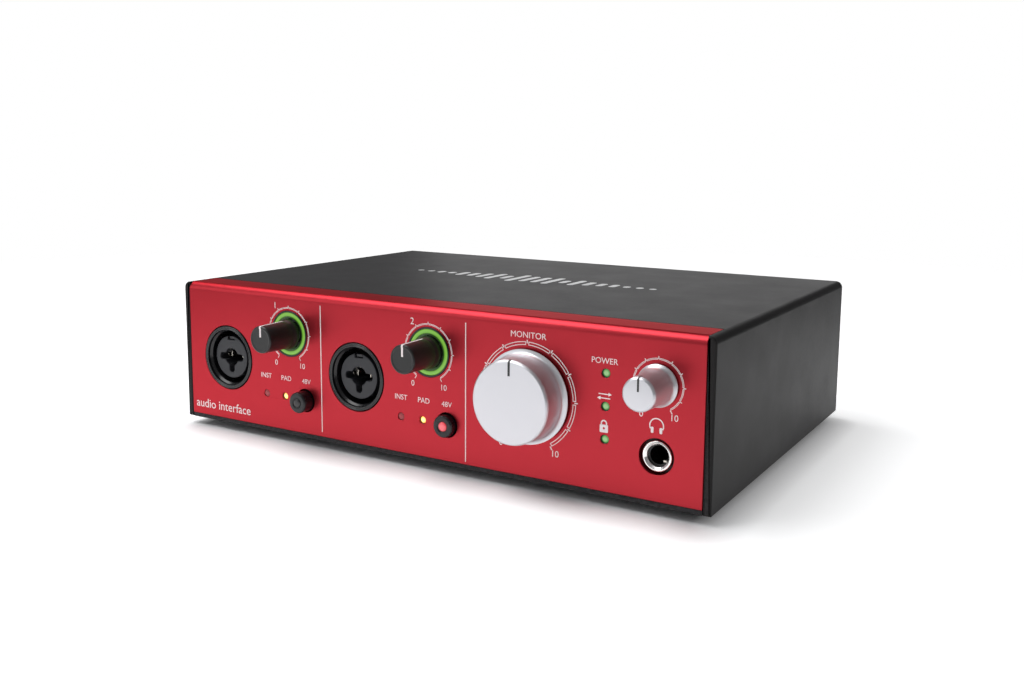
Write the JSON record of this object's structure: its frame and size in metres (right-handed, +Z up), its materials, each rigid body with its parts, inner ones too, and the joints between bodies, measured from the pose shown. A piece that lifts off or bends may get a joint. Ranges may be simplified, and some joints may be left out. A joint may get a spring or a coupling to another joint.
{
  "type": "audio interface",
  "caption": "Low rectangular desktop audio interface with a coloured metal front, dark cover, combination sockets, turning knobs, push buttons, indicator lights and rear connectors.",
  "frame": {"origin": "middle of the outline, on the surface that the rubber feet stand on", "axes": "+X to the right of a person facing the front panel, +Y to the back, +Z up"},
  "size_m": [0.21, 0.1582, 0.0548],
  "materials": {
    "anodised_red": "satin brushed anodising",
    "case_black": "fine satin coat",
    "plate_black": "satin coat",
    "rubber": "matt",
    "screw_black": "blackened",
    "socket_black": "semi-gloss moulded",
    "insert_grey": "moulded",
    "contact_metal": "silver-plated",
    "bezel_black": "moulded",
    "halo_green": "lit from behind",
    "knob_black": "moulded",
    "knob_silver": "spun",
    "shaft_steel": "turned",
    "pot_metal": "pressed",
    "chrome": "polished",
    "button_black": "moulded",
    "lens_red": "tinted",
    "lamp_red": "unlit",
    "lamp_amber": "lit",
    "lamp_green": "lit",
    "board_green": "solder mask",
    "chip_black": "moulded",
    "can_silver": "drawn can",
    "connector_black": "moulded",
    "nut_nickel": "nickel-plated"
  },
  "bodies": {
    "chassis": {"front_panel": "anodised_red", "top_cover": "case_black", "base_plate": "plate_black", "rear_panel": "plate_black", "rubber_feet": "rubber", "foot_screws": "screw_black", "base_screws": "screw_black", "rear_screws": "screw_black", "monitor_pot": "pot_metal", "headphone_pot": "pot_metal", "headphone_ferrule": "chrome", "headphone_jack": "connector_black", "headphone_contacts": "contact_metal", "instrument_lights": "lamp_red", "mode_lights": "lamp_amber", "status_lights": "lamp_green", "front_board": "board_green", "main_board": "board_green", "board_standoffs": "pot_metal", "board_screws": "screw_black", "board_header": "connector_black", "signal_chips": "chip_black", "filter_capacitors": "can_silver", "line_output_jacks": "connector_black", "line_output_nuts": "nut_nickel", "midi_sockets": "connector_black", "optical_input": "connector_black", "usb_socket": "nut_nickel", "dc_inlet": "connector_black", "power_frame": "bezel_black", "combo_housing_1": "socket_black", "combo_insert_1": "insert_grey", "combo_contacts_1": "contact_metal", "halo_bezel_1": "bezel_black", "halo_ring_1": "halo_green", "gain_pot_1": "pot_metal", "phantom_switch_1": "connector_black", "combo_housing_2": "socket_black", "combo_insert_2": "insert_grey", "combo_contacts_2": "contact_metal", "halo_bezel_2": "bezel_black", "halo_ring_2": "halo_green", "gain_pot_2": "pot_metal", "phantom_switch_2": "connector_black"},
    "gain_1": {"gain_knob_1": "knob_black", "gain_shaft_1": "shaft_steel"},
    "gain_2": {"gain_knob_2": "knob_black", "gain_shaft_2": "shaft_steel"},
    "monitor": {"monitor_knob": "knob_silver", "monitor_shaft": "shaft_steel"},
    "headphone": {"headphone_knob": "knob_silver", "headphone_shaft": "shaft_steel"},
    "phantom_1": {"phantom_button_1": "button_black", "phantom_lens_1": "lens_red"},
    "phantom_2": {"phantom_button_2": "button_black", "phantom_lens_2": "lens_red"},
    "power": {"power_rocker": "button_black"},
    "shutter": {"optical_shutter": "button_black"}
  },
  "joints": [
    {"name": "gain_1_turn", "type": "hinge", "parent": "chassis", "child": "gain_1", "pos_m": [-0.05265, -0.06505, 0.03985], "axis": [0, -1, 0], "range_deg": [-150, 150]},
    {"name": "gain_2_turn", "type": "hinge", "parent": "chassis", "child": "gain_2", "pos_m": [0.00775, -0.06505, 0.03985], "axis": [0, -1, 0], "range_deg": [-150, 150]},
    {"name": "monitor_turn", "type": "hinge", "parent": "chassis", "child": "monitor", "pos_m": [0.0448, -0.06505, 0.0302], "axis": [0, -1, 0], "range_deg": [-150, 150]},
    {"name": "headphone_turn", "type": "hinge", "parent": "chassis", "child": "headphone", "pos_m": [0.088, -0.06505, 0.0391], "axis": [0, -1, 0], "range_deg": [-150, 150]},
    {"name": "phantom_1_press", "type": "slide", "parent": "chassis", "child": "phantom_1", "axis": [0, 1, 0], "range_m": [0, 0.0022], "stiffness_N_per_m": 500, "springref_m": -0.001},
    {"name": "phantom_2_press", "type": "slide", "parent": "chassis", "child": "phantom_2", "axis": [0, 1, 0], "range_m": [-0.0019, 0.0003]},
    {"name": "power_rock", "type": "hinge", "parent": "chassis", "child": "power", "pos_m": [0.083, 0.07475, 0.025], "axis": [1, 0, 0], "range_deg": [-20, 0]},
    {"name": "shutter_swing", "type": "hinge", "parent": "chassis", "child": "shutter", "pos_m": [0.037, 0.07335, 0.0278], "axis": [-1, 0, 0], "range_deg": [0, 80], "stiffness_Nm_per_rad": 0.0006, "springref_deg": -11.46}
  ]
}
